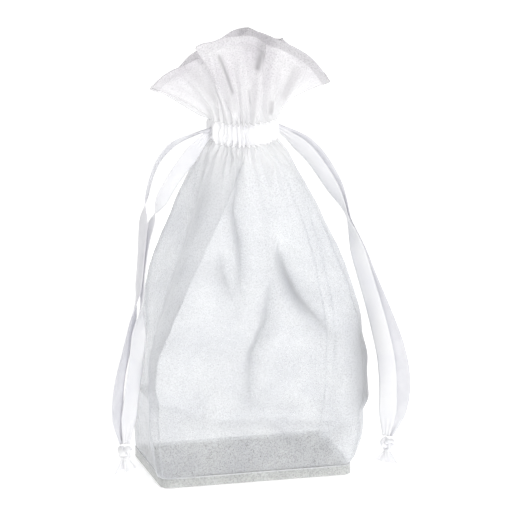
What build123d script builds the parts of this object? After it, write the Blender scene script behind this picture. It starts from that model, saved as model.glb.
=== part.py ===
"""Drawstring gift pouch of sheer cloth: a stiff-bottomed bag gathered at the neck by two ribbons.

Millimetres, +Z up. The origin is the centre of the underside that the pouch stands on.
X runs along the wide front, -Y is the front. Each cloth wall is a plain closed skin.
"""

from build123d import *
import math
import os

# ---- Driving dimensions -------------------------------------------------------------------

CLOTH = 0.8            # wall of a cloth skin
GAP = 0.3              # clearance between pieces that move apart

FOOT_WIDTH = 108.0     # bag bottom, outside
FOOT_DEPTH = 66.0
FOOT_CORNER = 5.0
RIM_HEIGHT = 4.6       # cloth tray round the insert
SEAM_HEIGHT = 0.8      # sewn edge line on the tray's rim
SEAM_PROUD = 0.5

BOARD_WIDTH = 103.0
BOARD_DEPTH = 62.0
BOARD_THICK = 3.0
BOARD_CORNER = 3.0

NECK_RADIUS = 16.5     # gathered casing, outside
NECK_BORE = 10.7       # open middle of the gathered casing
NECK_LOW = 188.0
NECK_HIGH = 200.0
CORNER_ANGLE = 31.4    # corner seams, from the X axis
CORNER_SEAM = 1.6      # how far a corner seam takes the front and back slices inwards

RIBBON_WIDTH = 10.0
RIBBON_THICK = 0.6
RIBBON_TIP = 1.0       # half width where the ribbon is bunched at its slit
RIBBON_FAN = 6.0       # length over which it spreads to its full width
STRAND_OFF = 0.4       # front and back strands stay this far either side of their plane
RIBBON_IN_CASING = 9.0
LEFT_RUN_RADIUS = 12.9   # inner face of the left ribbon inside the casing
RIGHT_RUN_RADIUS = 14.2

RUFFLE_FAN = 57.6      # reach of the heading from the centre of the fan
RUFFLE_FAN_HEIGHT = 189.4
RUFFLE_WIDE = 97.0     # half axes of the flare where it would reach its top plane
RUFFLE_DEEP = 23.0
RUFFLE_TOP = 249.0
RUFFLE_THICK = 1.6     # two layers of cloth with their gathers
HEM_WIDTH = 5.0
HEM_PROUD = 0.4

WALL_LOW = RIM_HEIGHT + SEAM_HEIGHT + GAP
REACH = 150.0          # longer than anything the slicing tools have to cut

# Filled bag, from the foot up: height, half width, half depth, corner radius, lean to the right
BAG_RINGS = [
    (WALL_LOW, 54.0, 33.0, 5.0, 0.0),
    (18.0, 56.0, 33.3, 7.0, 0.0),
    (40.0, 58.2, 33.8, 10.0, 0.0),
    (65.0, 58.8, 34.0, 13.0, 0.0),
    (90.0, 54.6, 32.5, 17.0, 1.4),
    (115.0, 47.5, 29.5, 20.0, 3.1),
    (138.0, 39.5, 26.5, 21.0, 3.5),
    (158.0, 32.5, 23.8, 21.0, 2.7),
    (174.0, 26.0, 21.0, 19.5, 1.2),
    (183.0, 20.8, 18.6, 17.8, 0.4),
    (NECK_LOW, NECK_RADIUS, NECK_RADIUS, NECK_RADIUS - 0.1, 0.0),
]

# Each drawstring hangs in an upright plane that starts just outside its slit. A route is
# distance out from the slit, then height above the table. The knot ends both strands.
SLIT_OUT = NECK_RADIUS + 1.3
SLIT_HEIGHT = (NECK_LOW + NECK_HIGH) / 2
DRAWSTRINGS = {
    "left": {
        "heading": (-50.0, -16.0),
        "front": [(0, SLIT_HEIGHT), (20.5, 175), (32, 160), (41, 143), (44.5, 122), (45.5, 99),
                  (48, 74), (52.5, 46), (56, 22.5)],
        "back": [(0, SLIT_HEIGHT), (19, 192), (33, 184), (40.5, 168), (44, 146), (45.5, 122),
                 (48.5, 99), (54, 78), (60, 57), (61, 39), (57.5, 22.5)],
        "knot": (56.5, 17.5),
        "tail_length": 6.0,
    },
    "right": {
        "heading": (60.0, -22.0),
        "front": [(0, SLIT_HEIGHT), (14, 181), (24, 163), (33.5, 142), (42.5, 118), (51, 82),
                  (58, 47), (62.5, 17)],
        "back": [(0, SLIT_HEIGHT), (15.5, 184.5), (27, 167), (35, 143), (44, 114), (56, 86),
                 (67.5, 65), (71.5, 48), (69.5, 32), (64.5, 17)],
        "knot": (63.5, 12.0),
        "tail_length": 6.0,
    },
}
KNOT_WIDE = 9.0
KNOT_TALL = 9.4
KNOT_DEEP = 6.4

os.makedirs("parts", exist_ok=True)


def save(piece, label):
    """Name a finished piece and write it out."""
    piece.part.label = label
    export_step(piece.part, f"parts/{label}.step")
    return piece


# ---- Slices that share the round parts out among the four walls ----------------------------

def wedge(middle, half_angle, back_off):
    """Corner points of a pie slice about the Z axis, drawn back along its middle line."""
    across = math.radians(middle)
    tip = Vector(math.cos(across), math.sin(across)) * back_off
    points = [tip]
    for turn in (-half_angle, half_angle):
        edge = math.radians(middle + turn)
        points.append(tip + Vector(math.cos(edge), math.sin(edge)) * REACH)
    return points


SLICES = {
    "front": wedge(-90, 90 - CORNER_ANGLE, GAP),
    "back": wedge(90, 90 - CORNER_ANGLE, GAP),
    "left": wedge(180, CORNER_ANGLE, GAP),
    "right": wedge(0, CORNER_ANGLE, GAP),
}


SEAMED_SLICES = {
    "front": wedge(-90, 90 - CORNER_ANGLE, GAP + CORNER_SEAM),
    "back": wedge(90, 90 - CORNER_ANGLE, GAP + CORNER_SEAM),
}


# ---- Base -----------------------------------------------------------------------------------

def make_base():
    with BuildPart() as base_panel:
        with BuildSketch():
            RectangleRounded(FOOT_WIDTH, FOOT_DEPTH, FOOT_CORNER)
        extrude(amount=RIM_HEIGHT)
        with BuildSketch(Plane.XY.offset(CLOTH)):
            RectangleRounded(FOOT_WIDTH - 2 * CLOTH, FOOT_DEPTH - 2 * CLOTH, FOOT_CORNER - CLOTH)
        extrude(amount=RIM_HEIGHT, mode=Mode.SUBTRACT)
    save(base_panel, "base_panel")

    with BuildPart() as base_seam:
        with BuildSketch(Plane.XY.offset(RIM_HEIGHT)):
            RectangleRounded(
                FOOT_WIDTH + 2 * SEAM_PROUD, FOOT_DEPTH + 2 * SEAM_PROUD, FOOT_CORNER + SEAM_PROUD
            )
            RectangleRounded(
                FOOT_WIDTH - 2 * CLOTH, FOOT_DEPTH - 2 * CLOTH, FOOT_CORNER - CLOTH,
                mode=Mode.SUBTRACT,
            )
        extrude(amount=SEAM_HEIGHT)
    save(base_seam, "base_seam")

    with BuildPart() as base_board:
        with BuildSketch(Plane.XY.offset(CLOTH + GAP)):
            RectangleRounded(BOARD_WIDTH, BOARD_DEPTH, BOARD_CORNER)
        extrude(amount=BOARD_THICK)
        chamfer(base_board.edges().group_by(Axis.Z)[-1], 0.4)
    save(base_board, "base_board")


# ---- Walls of the bag -----------------------------------------------------------------------

def bag_rings(outset):
    """Level outlines of the filled bag, grown by outset all round."""
    outlines = []
    for height, half_width, half_depth, corner, lean in BAG_RINGS:
        with BuildSketch(Plane(origin=(lean, 0, height))) as outline:
            RectangleRounded(2 * (half_width + outset), 2 * (half_depth + outset), corner + outset)
        outlines.append(outline.sketch)
    return outlines


def make_wall(label, slice_points):
    """One cloth panel: its slice of the bag's skin."""
    with BuildPart() as panel:
        loft(bag_rings(0))
        loft(bag_rings(-CLOTH), mode=Mode.SUBTRACT)
        with BuildSketch(Plane.XY.offset(WALL_LOW)):
            Polygon(*slice_points, align=None)
        extrude(amount=NECK_LOW - WALL_LOW, mode=Mode.INTERSECT)
    return save(panel, label)


def make_corner_seam(label, outer_slice, inner_slice, side):
    """The ridge down one long edge of a panel, where the gusset's cloth is sewn to it."""
    with BuildPart() as seam:
        loft(bag_rings(SEAM_PROUD))
        loft(bag_rings(-CLOTH - SEAM_PROUD), mode=Mode.SUBTRACT)
        with BuildSketch(Plane.XY.offset(WALL_LOW)):
            Polygon(*outer_slice, align=None)
            Polygon(*inner_slice, align=None, mode=Mode.SUBTRACT)
            with Locations((side * REACH, 0)):
                Rectangle(2 * REACH, 4 * REACH, mode=Mode.INTERSECT)
        extrude(amount=NECK_LOW - WALL_LOW, mode=Mode.INTERSECT)
    return save(seam, label)


# ---- Casing for the ribbons ------------------------------------------------------------------

def make_casing(label, slice_points, top, slit_side=0):
    """A quarter of the casing: a hollow ring whose two walls meet at the stitch rows."""
    with BuildPart() as casing:
        with BuildSketch(Plane.XY.offset(NECK_LOW)):
            Circle(NECK_RADIUS)
            Circle(NECK_BORE, mode=Mode.SUBTRACT)
        extrude(amount=top - NECK_LOW)
        with BuildSketch(Plane.XY.offset(NECK_LOW + CLOTH)):
            Circle(NECK_RADIUS - CLOTH)
            Circle(NECK_BORE + CLOTH, mode=Mode.SUBTRACT)
        extrude(amount=NECK_HIGH - NECK_LOW - 2 * CLOTH, mode=Mode.SUBTRACT)
        with BuildSketch(Plane.XY.offset(NECK_LOW)):
            Polygon(*slice_points, align=None)
        extrude(amount=top - NECK_LOW, mode=Mode.INTERSECT)
        if slit_side:
            with BuildSketch(Plane.YZ.offset(slit_side * (NECK_RADIUS - CLOTH))):
                with Locations((0, (NECK_LOW + NECK_HIGH) / 2)):
                    Rectangle(4.0, RIBBON_IN_CASING)
            extrude(amount=2 * CLOTH, both=True, mode=Mode.SUBTRACT)
    return save(casing, label)


def make_stitching(label, slice_points):
    """Two rows of thread round one quarter of the casing."""
    with BuildPart() as rows:
        for height in (NECK_LOW + 0.2, NECK_HIGH - 0.8):
            with BuildSketch(Plane.XY.offset(height)):
                Circle(NECK_RADIUS + 0.4)
                Circle(NECK_RADIUS, mode=Mode.SUBTRACT)
            extrude(amount=0.6)
        with BuildSketch(Plane.XY.offset(NECK_LOW)):
            Polygon(*slice_points, align=None)
        extrude(amount=NECK_HIGH - NECK_LOW, mode=Mode.INTERSECT)
    return save(rows, label)


def make_inner_run(label, radius, slices):
    """The part of a ribbon that lies inside the casing, over the given slices."""
    with BuildPart() as run:
        with BuildSketch(Plane.XY.offset((NECK_LOW + NECK_HIGH - RIBBON_IN_CASING) / 2)):
            Circle(radius + RIBBON_THICK)
            Circle(radius, mode=Mode.SUBTRACT)
            with BuildSketch(mode=Mode.INTERSECT):
                for slice_points in slices:
                    Polygon(*slice_points, align=None)
        extrude(amount=RIBBON_IN_CASING)
    return save(run, label)


# ---- Heading above the casing ----------------------------------------------------------------

def flare(outset):
    """Level outlines at the foot and the top plane of the flared heading."""
    with BuildSketch(Plane.XY.offset(NECK_HIGH + GAP)) as low:
        Circle(NECK_RADIUS + outset)
    with BuildSketch(Plane.XY.offset(RUFFLE_TOP)) as high:
        Ellipse(RUFFLE_WIDE + outset, RUFFLE_DEEP + outset)
    return [low.sketch, high.sketch]


def make_heading(label, side, outset, fan_from, fan_to):
    """Half of the flare between two reaches of the fan, on the front (-1) or back (+1)."""
    with BuildPart() as heading:
        loft(flare(outset))
        loft(flare(-RUFFLE_THICK - outset), mode=Mode.SUBTRACT)
        with BuildSketch(Plane.XZ):
            with Locations((0, RUFFLE_FAN_HEIGHT)):
                Circle(fan_to)
                if fan_from:
                    Circle(fan_from, mode=Mode.SUBTRACT)
        extrude(amount=REACH, both=True, mode=Mode.INTERSECT)
        with BuildSketch(Plane.XY.offset(NECK_LOW)):
            with Locations((0, side * GAP / 2)):
                edge = Align.MIN if side > 0 else Align.MAX
                Rectangle(2 * REACH, REACH, align=(Align.CENTER, edge))
        extrude(amount=REACH, mode=Mode.INTERSECT)
    return save(heading, label)


# ---- Hanging drawstrings ----------------------------------------------------------------------

def corner_radii(points):
    """For each corner of a route, the largest arc that its two runs leave room for."""
    radii = []
    for before, corner, after in zip(points, points[1:], points[2:]):
        run_in = Vector(*corner) - Vector(*before)
        run_out = Vector(*after) - Vector(*corner)
        half_turn = math.radians(run_in.get_angle(run_out)) / 2
        radii.append(0.45 * min(run_in.length, run_out.length) / math.tan(half_turn))
    return radii


def hanging_plane(side):
    """The upright plane of one drawstring: x runs out from the slit, y is up from the table."""
    sign = -1 if side == "left" else 1
    out = Vector(*DRAWSTRINGS[side]["heading"], 0).normalized()
    return Plane(origin=(sign * SLIT_OUT, 0, 0), x_dir=out, z_dir=out.cross(Vector(0, 0, 1)))


def make_strand(side, face):
    """One hanging strand: bunched at the slit, then a flat band down to the knot."""
    points = DRAWSTRINGS[side][face]
    start = Vector(*points[0])
    along = (Vector(*points[1]) - start).normalized()
    across = Vector(-along.Y, along.X)
    spread = start + along * RIBBON_FAN
    route = [(spread.X, spread.Y)] + points[1:]
    radii = corner_radii(route)
    plane = hanging_plane(side)
    towards = 1 if (face == "front") == (plane.z_dir.Y < 0) else -1
    inner = STRAND_OFF if towards > 0 else -STRAND_OFF - RIBBON_THICK
    with BuildPart() as strand:
        with BuildSketch(plane.offset(inner)):
            with BuildLine():
                path = FilletPolyline(*route, radius=radii)
            trace(line_width=RIBBON_WIDTH)
            Polygon(
                start + across * RIBBON_TIP, start - across * RIBBON_TIP,
                spread - across * (RIBBON_WIDTH / 2), spread + across * (RIBBON_WIDTH / 2),
                align=None,
            )
        extrude(amount=RIBBON_THICK)
    length = path.length + RIBBON_FAN
    flat = RIBBON_THICK * (path.length * RIBBON_WIDTH + RIBBON_FAN * (RIBBON_WIDTH / 2 + RIBBON_TIP))
    print(f"{side} {face} strand: length {length:.1f}, volume {strand.part.volume:.0f} of {flat:.0f}")
    print("  radii", [round(radius) for radius in radii])
    return save(strand, f"{side}_{face}_strand")


def make_knot(side):
    """The overhand knot and the two cut ends that fan out under it."""
    out, height = DRAWSTRINGS[side]["knot"]
    plane = hanging_plane(side)
    with BuildPart() as knot:
        with BuildSketch(plane):
            with Locations((out, height)):
                SlotCenterToCenter(KNOT_TALL - KNOT_WIDE + 1.0, KNOT_WIDE - 1.0, rotation=90)
        extrude(amount=KNOT_DEEP / 2, both=True)
        fillet(knot.edges().filter_by(GeomType.CIRCLE), 2.6)
    save(knot, f"{side}_knot")

    with BuildPart() as tails:
        for lean, off in ((-14, 0.9), (12, -0.9 - RIBBON_THICK)):
            with BuildSketch(plane.offset(off)):
                with Locations((out + lean / 10, height - KNOT_TALL / 2)):
                    Rectangle(RIBBON_WIDTH * 0.6, DRAWSTRINGS[side]["tail_length"],
                              rotation=lean, align=(Align.CENTER, Align.MAX))
            extrude(amount=RIBBON_THICK)
    save(tails, f"{side}_tails")


# ---- Main -------------------------------------------------------------------------------------

make_base()

for side_name in ("front", "back"):
    cut = SLICES[side_name]
    seamed = SEAMED_SLICES[side_name]
    make_wall(f"{side_name}_panel", seamed)
    make_corner_seam(f"{side_name}_left_seam", cut, seamed, -1)
    make_corner_seam(f"{side_name}_right_seam", cut, seamed, 1)
    make_casing(f"{side_name}_channel", cut, NECK_HIGH + GAP)
    make_stitching(f"{side_name}_stitching", cut)
    make_inner_run(f"left_ribbon_{side_name}_run", LEFT_RUN_RADIUS, [cut])
    make_inner_run(f"right_ribbon_{side_name}_run", RIGHT_RUN_RADIUS, [cut])

for side_name, sign in (("left", -1), ("right", 1)):
    cut = SLICES[side_name]
    make_wall(f"{side_name}_gusset", cut)
    make_casing(f"{side_name}_channel", cut, NECK_HIGH, slit_side=sign)
    make_stitching(f"{side_name}_stitching", cut)

both_sides = [SLICES["left"], SLICES["right"]]
make_inner_run("left_ribbon_side_runs", LEFT_RUN_RADIUS, both_sides)
make_inner_run("right_ribbon_side_runs", RIGHT_RUN_RADIUS, both_sides)

for side_name, side in (("front", -1), ("back", 1)):
    make_heading(f"{side_name}_ruffle", side, 0, 0, RUFFLE_FAN - HEM_WIDTH)
    make_heading(f"{side_name}_hem", side, HEM_PROUD, RUFFLE_FAN - HEM_WIDTH, RUFFLE_FAN)

for side_name in DRAWSTRINGS:
    make_strand(side_name, "front")
    make_strand(side_name, "back")
    make_knot(side_name)
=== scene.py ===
import math

import bpy
import numpy as np
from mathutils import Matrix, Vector


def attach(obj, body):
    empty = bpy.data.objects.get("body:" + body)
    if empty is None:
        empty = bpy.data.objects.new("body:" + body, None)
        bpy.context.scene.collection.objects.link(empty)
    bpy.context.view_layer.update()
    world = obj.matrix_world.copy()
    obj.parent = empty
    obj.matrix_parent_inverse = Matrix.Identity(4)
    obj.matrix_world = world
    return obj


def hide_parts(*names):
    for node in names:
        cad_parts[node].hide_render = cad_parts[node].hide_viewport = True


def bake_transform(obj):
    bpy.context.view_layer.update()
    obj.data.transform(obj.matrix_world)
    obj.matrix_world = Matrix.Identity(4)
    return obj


bl_info = {
    "name": "Organza drawstring pouch",
    "version": (1, 0, 0),
    "blender": (4, 5, 0),
    "location": "View3D > Sidebar > Pouch",
    "description": "Builds the gathered cloth, ribbons and stage of a sheer drawstring pouch",
    "category": "Add Mesh",
}

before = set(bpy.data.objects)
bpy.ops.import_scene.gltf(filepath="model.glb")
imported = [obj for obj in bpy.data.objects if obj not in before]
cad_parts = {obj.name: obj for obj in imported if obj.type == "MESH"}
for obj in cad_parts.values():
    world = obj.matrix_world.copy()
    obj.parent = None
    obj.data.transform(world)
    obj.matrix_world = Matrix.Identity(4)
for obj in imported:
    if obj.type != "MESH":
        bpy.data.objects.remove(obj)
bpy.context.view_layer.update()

MM = 0.001

# Shape of the bag, in millimetres: height, half width, half depth, corner radius, lean.
BAG_RINGS = np.array([
    (5.7, 54, 33, 5, 0), (18, 56, 33.3, 7, 0), (40, 58.2, 33.8, 10, 0), (65, 58.8, 34, 13, 0),
    (90, 54.6, 32.5, 17, 1.4), (115, 47.5, 29.5, 20, 3.1), (138, 39.5, 26.5, 21, 3.5),
    (158, 32.5, 23.8, 21, 2.7), (174, 26, 21, 19.5, 1.2), (183, 20.8, 18.6, 17.8, 0.4),
    (188, 16.5, 16.5, 16.4, 0), (200.3, 16.5, 16.5, 16.4, 0),
])
WALL_LOW, NECK_LOW, NECK_HIGH = 5.7, 188.0, 200.3
NECK_RADIUS = 16.5
FLAT_HALF_ROUND = 175.0
# The two stitch rows of the casing, and how many fine and middle gathers run round the neck.
STITCH_LEVELS = (188.9, 199.3)
FINE_GATHERS, MIDDLE_GATHERS = 36, 21
# How far the low walls may come in, so that the board can be lifted past them.
BOARD_ROOM = 2.1
BASE_HALF_WIDTH, BASE_HALF_DEPTH, BASE_CORNER, RIM_HEIGHT = 54.0, 33.0, 5.0, 4.6

# The creased edge between the front and the left side, from the neck to the base.
FRONT_LEFT_CREASE = np.array([
    (-1, -17, 183), (-22, -26, 146), (-40, -30, 110),
    (-58.5, -33.5, 70), (-57.5, -33.8, 40), (-54, -33, 5.7),
])

# How far two of the corners stand off the plain outline: heights, then distances.
BACK_LEFT_CORNER = (
    [5.7, 10, 20, 30, 44, 52, 60, 70, 80, 90, 100, 110, 128, 137, 146, 155, 164, 172, 180, 188],
    [0, -0.2, -1.2, -2, -3.2, -5, -6.8, -6.8, -3.6, -0.4, 3.4, 6.6, 7.4, 7.8, 7.7, 7, 5.2, 3.2, 1.6, 0])
FRONT_RIGHT_CORNER = (
    [5.7, 10, 20, 30, 50, 70, 90, 110, 128, 146, 164, 172, 180, 188],
    [0, 2.5, 4.4, 5.8, 6.8, 7.4, 8, 7.8, 6.8, 5.8, 4.2, 2.6, 2, 0])

# Folds drawn on the walls: points along each, how far it goes in (-) or out (+), its width.
FOLDS = [
    ([(12.8, -27, 134), (14.6, -27.9, 127), (19.1, -29.6, 114.4),
      (26.4, -31.2, 100.4), (39.5, -32.8, 85.4)], -7.0, 4.6),
    ([(20.3, -26.9, 136), (26, -28.4, 122), (34, -30.4, 106), (41.5, -31.8, 92)], 4.2, 7.0),
    ([(8.9, -30, 112), (6.9, -31.5, 97.9), (5.1, -32.5, 89.6),
      (0.4, -33.2, 79.1), (-2.8, -33.4, 72), (-4.4, -33.8, 45.5)], -5.4, 3.4),
    ([(14.6, -30, 108), (12.6, -32.4, 90.8), (7.4, -33.3, 74.9)], 2.6, 5.0),
    ([(-4.9, -20.3, 180), (-8.3, -22.5, 165.4), (-10.8, -24.3, 154.5),
      (-9.2, -25.8, 143.3), (-7.6, -27.4, 131.4), (-8.2, -30.7, 103)], -5.4, 3.6),
    ([(-20, -27, 133), (-16.9, -29.1, 118.1), (-12, -30.8, 104)], -4.0, 5.5),
    ([(12.4, -17.5, 184), (10.1, -22, 168), (10.6, -24.5, 153),
      (12.3, -26.7, 136.1), (9, -29.5, 116)], 3.2, 3.8),
    ([(-27, -33.7, 37.2), (-11.2, -33.7, 35.5), (8.3, -33.7, 34.6),
      (27.8, -33.6, 32), (47, -33.6, 32.4)], -2.6, 2.6),
    ([(-25, -33.7, 42), (8, -33.7, 40), (44, -33.6, 38)], 1.0, 5.0),
    ([(0.2, -33.7, 35.2), (14, -33.6, 29.2), (27.9, -33.3, 16)], -2.2, 2.8),
    ([(-26.2, -33.7, 37.2), (-32, -33.8, 47), (-36, -33.9, 56)], -2.0, 3.6),
    ([(60, -24.2, 39), (47.3, -33.5, 28.8), (33, -33.3, 16)], -3.0, 3.6),
    ([(-61, -22.8, 50), (-47.4, -33.9, 46.4), (-30.2, -33.8, 38.1)], -2.2, 4.4),
    ([(28, -18, 178), (33, -24, 158), (40, -27, 135), (46, -28, 112)], 1.4, 7.0),
    ([(-34, -28, 100), (-24, -32, 82), (-20, -33, 62)], -1.5, 9.0),
    ([(30, 24, 150), (22, 29, 118), (26, 33, 84), (20, 34, 50)], -3.5, 8.0),
    ([(-20, 23, 158), (-14, 28, 124), (-20, 33, 86)], -3.5, 7.0),
    ([(2, 24, 160), (4, 29, 120), (-4, 34, 76)], 3.0, 8.0),
]

# The heading's top edge, in millimetres, from the left tip to the right tip.
FRONT_EDGE = np.array([
    (-52, 0, 221), (-43, -6, 230), (-30, -10, 237), (-21.5, -8, 241), (-31, -17, 246), (-22, -18.5, 250),
    (-8, -19.5, 252), (3, -19, 250.5), (7, -17, 245.5), (-3, -9, 247), (3, -7.5, 251), (17, -9, 246),
    (33, -7.5, 236.5), (41, -5, 229), (50, 0, 216.5),
])
BACK_EDGE = np.array([
    (-52, 0, 221), (-49, 5, 220), (-43, 13, 221), (-37, 2, 228), (-31, 14, 228), (-24, 16, 234),
    (-16, 5, 242),
    (-9, 17, 240), (-1, 17, 245), (5, 6, 249), (12, 16, 243), (19, 15, 240), (24, 5, 241.5), (31, 13, 234.5),
    (37, 12, 229), (42, 3, 227), (47, 7, 221), (50, 0, 216.5),
])

# Painted shade for folds and slits in the front of the heading: where each starts and ends (across, up), its
# width and its depth, which is how dark it is.
HEADING_SHADES = [
    ((0.516, 0.68), (0.53, 1.0), 0.013, 1.0), ((0.484, 0.40), (0.5, 0.24), 0.006, 0.8),
    ((0.363, 0.82), (0.382, 0.40), 0.008, 0.9), ((0.14, 0.85), (0.16, 0.35), 0.035, 0.35),
    ((0.25, 0.85), (0.27, 0.5), 0.03, 0.3), ((0.747, 0.25), (0.745, 0.1), 0.02, 0.6),
    ((0.852, 0.75), (0.878, 0.35), 0.02, 0.35), ((0.62, 0.75), (0.62, 0.3), 0.03, 0.25),
]

# Each drawstring hangs in an upright plane from its slit: points are (distance out, height).
SLIT_OUT, SLIT_HEIGHT = 17.8, 194.0
STRANDS = {
    "left_front": dict(
        side=-1, heading=(-50, -16), shift=-0.8,
        route=[(0, 194), (20.5, 175), (32, 160), (41, 143), (44.5, 122), (45.5, 99),
               (48, 74), (52.5, 46), (56, 22.5)],
        turns=[(194, 0), (158, 10), (148, 76), (104, 74), (84, 6), (20, 0)]),
    "left_back": dict(
        side=-1, heading=(-50, -16), shift=0.8,
        route=[(0, 194), (19, 192), (33, 184), (40.5, 168), (44, 146), (45.5, 122),
               (48.5, 99), (54, 78), (60, 57), (61, 39), (57.5, 22.5)],
        turns=[(194, 88), (192.6, 62), (188, 40), (160, 44), (149, 84), (110, 80),
               (92, 36), (60, 24), (20, 10)]),
    "right_front": dict(
        side=1, heading=(60, -22), shift=-0.8,
        route=[(0, 194), (16, 184), (29, 166), (41, 144), (48, 118), (58, 84), (65, 50), (62.5, 17)],
        turns=[(194, 20), (160, 36), (143, 80), (122, 24), (20, 0)]),
    "right_back": dict(
        side=1, heading=(60, -22), shift=0.8,
        route=[(0, 194), (17, 187), (31, 170), (42, 145), (51, 116), (62, 88),
               (69.5, 66), (72, 48), (70, 32), (64.5, 17)],
        turns=[(194, 20), (160, 40), (143, 82), (122, 40), (80, 20), (20, 0)]),
}
KNOTS = {
    "left": dict(side=-1, heading=(-50, -16), out=56.5, height=17.5),
    "right": dict(side=1, heading=(60, -22), out=63.5, height=12.0),
}
KNOT_WIDE, KNOT_TALL, KNOT_DEEP = 9.0, 9.4, 6.4


# ---------------------------------------------------------------- shape of the cloth

def table_at(levels, values, at):
    """Reads a table at any height, as a smooth curve through its rows."""
    slope = np.gradient(values, levels)
    i = np.clip(np.searchsorted(levels, at) - 1, 0, len(levels) - 2)
    gap = levels[i + 1] - levels[i]
    t = np.clip((at - levels[i]) / gap, 0, 1)
    return (
        (2 * t**3 - 3 * t**2 + 1) * values[i]
        + (t**3 - 2 * t**2 + t) * gap * slope[i]
        + (3 * t**2 - 2 * t**3) * values[i + 1]
        + (t**3 - t**2) * gap * slope[i + 1]
    )


def ring_at(z):
    """Half width, half depth, corner radius and lean of the bag at heights z."""
    body = BAG_RINGS[:11]
    w, d, r, lean = (table_at(body[:, 0], body[:, k], np.minimum(z, NECK_LOW)) for k in (1, 2, 3, 4))
    return w, d, np.minimum(r, np.minimum(w, d) * 0.995), lean


def outline(z, share, back=False):
    """Places and outward directions on the bag's half outline, from the left (0) to the right (1)."""
    w, d, r, lean = ring_at(z)
    side, front, arc = d - r, 2 * (w - r), math.pi * r / 2
    length = 2 * side + front + 2 * arc
    a = share * length
    x, y, nx, ny = (np.zeros(np.broadcast(z, share).shape) for _ in range(4))
    a, side, front, arc, r, w, d = (v + x for v in (a, side, front, arc, r, w, d))
    on = a < side
    x[on], y[on], nx[on], ny[on] = -w[on], -a[on], -1, 0
    on = (a >= side) & (a < side + arc)
    turn = math.pi + (a[on] - side[on]) / r[on]
    x[on], y[on] = -(w - r)[on] + r[on] * np.cos(turn), -(d - r)[on] + r[on] * np.sin(turn)
    nx[on], ny[on] = np.cos(turn), np.sin(turn)
    on = (a >= side + arc) & (a < side + arc + front)
    x[on], y[on], nx[on], ny[on] = (a - side - arc - (w - r))[on], -d[on], 0, -1
    on = (a >= side + arc + front) & (a < side + 2 * arc + front)
    turn = 1.5 * math.pi + (a[on] - (side + arc + front)[on]) / r[on]
    x[on], y[on] = (w - r)[on] + r[on] * np.cos(turn), -(d - r)[on] + r[on] * np.sin(turn)
    nx[on], ny[on] = np.cos(turn), np.sin(turn)
    on = a >= side + 2 * arc + front
    x[on], y[on], nx[on], ny[on] = w[on], -(d - r)[on] + (a - side - 2 * arc - front)[on], 1, 0
    y = np.minimum(y, 0)
    if back:
        y, ny = -y, -ny
    return x + lean, y, nx, ny, length + np.zeros_like(x)


def corner_share(z):
    """Where the middle of an ordinary left corner lies on the half outline."""
    w, d, r, _ = ring_at(z)
    side, front, arc = d - r, 2 * (w - r), math.pi * r / 2
    return (side + arc / 2) / (2 * side + front + 2 * arc)


CREASE_LEVELS = np.linspace(WALL_LOW, 183.0, 60)


def find_crease():
    """Where the creased front left edge lies on the outline, and how far it stands off it."""
    order = FRONT_LEFT_CREASE[::-1]
    shares, heights = [], []
    trial = np.linspace(0, 1, 801)
    for z in CREASE_LEVELS:
        px, py = (np.interp(z, order[:, 2], order[:, k]) for k in (0, 1))
        x, y, nx, ny, _ = outline(np.full_like(trial, z), trial)
        gap = np.hypot(x - px, y - py)
        k = int(gap.argmin())
        shares.append(trial[k])
        heights.append((px - x[k]) * nx[k] + (py - y[k]) * ny[k])
    ease = np.ones(9) / 9
    padded = [np.concatenate([np.full(4, v[0]), v, np.full(4, v[-1])]) for v in (shares, heights)]
    return [np.convolve(v, ease, mode="valid") for v in padded]


CREASE_SHARES, CREASE_HEIGHTS = find_crease()


def seam_share(z, corner):
    """Where one of the four corner seams lies on its half outline."""
    usual = corner_share(z)
    if corner == "front_left":
        return np.interp(z, CREASE_LEVELS, CREASE_SHARES)
    return 1 - usual if corner.endswith("right") else usual


def gathers(turn, count, seed):
    """Uneven pleats round the neck, about 1 on their ridges and -1 in their valleys."""
    random = np.random.default_rng(seed)
    phase = 2 * math.pi * count * turn
    for order in (1, 2, 3, 5, 8):
        phase = phase + 0.16 * count / order * random.uniform(0.5, 1.2) * np.sin(
            2 * math.pi * order * turn + random.uniform(0, 2 * math.pi)) * (order / 3 if order < 3 else 1)
    level = 0.78 + 0.16 * np.sin(2 * math.pi * 4 * turn + random.uniform(0, 6)) + 0.16 * np.sin(
        2 * math.pi * 11 * turn + random.uniform(0, 6))
    return level * (np.cos(phase) + 0.18 * np.cos(2 * phase))


def ripples(x, z, seed, longest, count=7):
    """Soft low waves over the cloth, about 1 high."""
    random = np.random.default_rng(seed)
    total = np.zeros_like(x)
    for _ in range(count):
        turn, wave = random.uniform(0, math.pi), longest * random.uniform(0.45, 1.0)
        along = x * math.cos(turn) + z * math.sin(turn)
        total += np.cos(2 * math.pi / wave * along + random.uniform(0, 2 * math.pi))
    return total / math.sqrt(count)


def slit_room(turn):
    """The gathers lie flatter at the two side slits, where the ribbons come out."""
    return np.clip(NECK_RADIUS * np.abs(np.sin(2 * math.pi * turn)) / 5.5, 0.2, 1)


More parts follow.
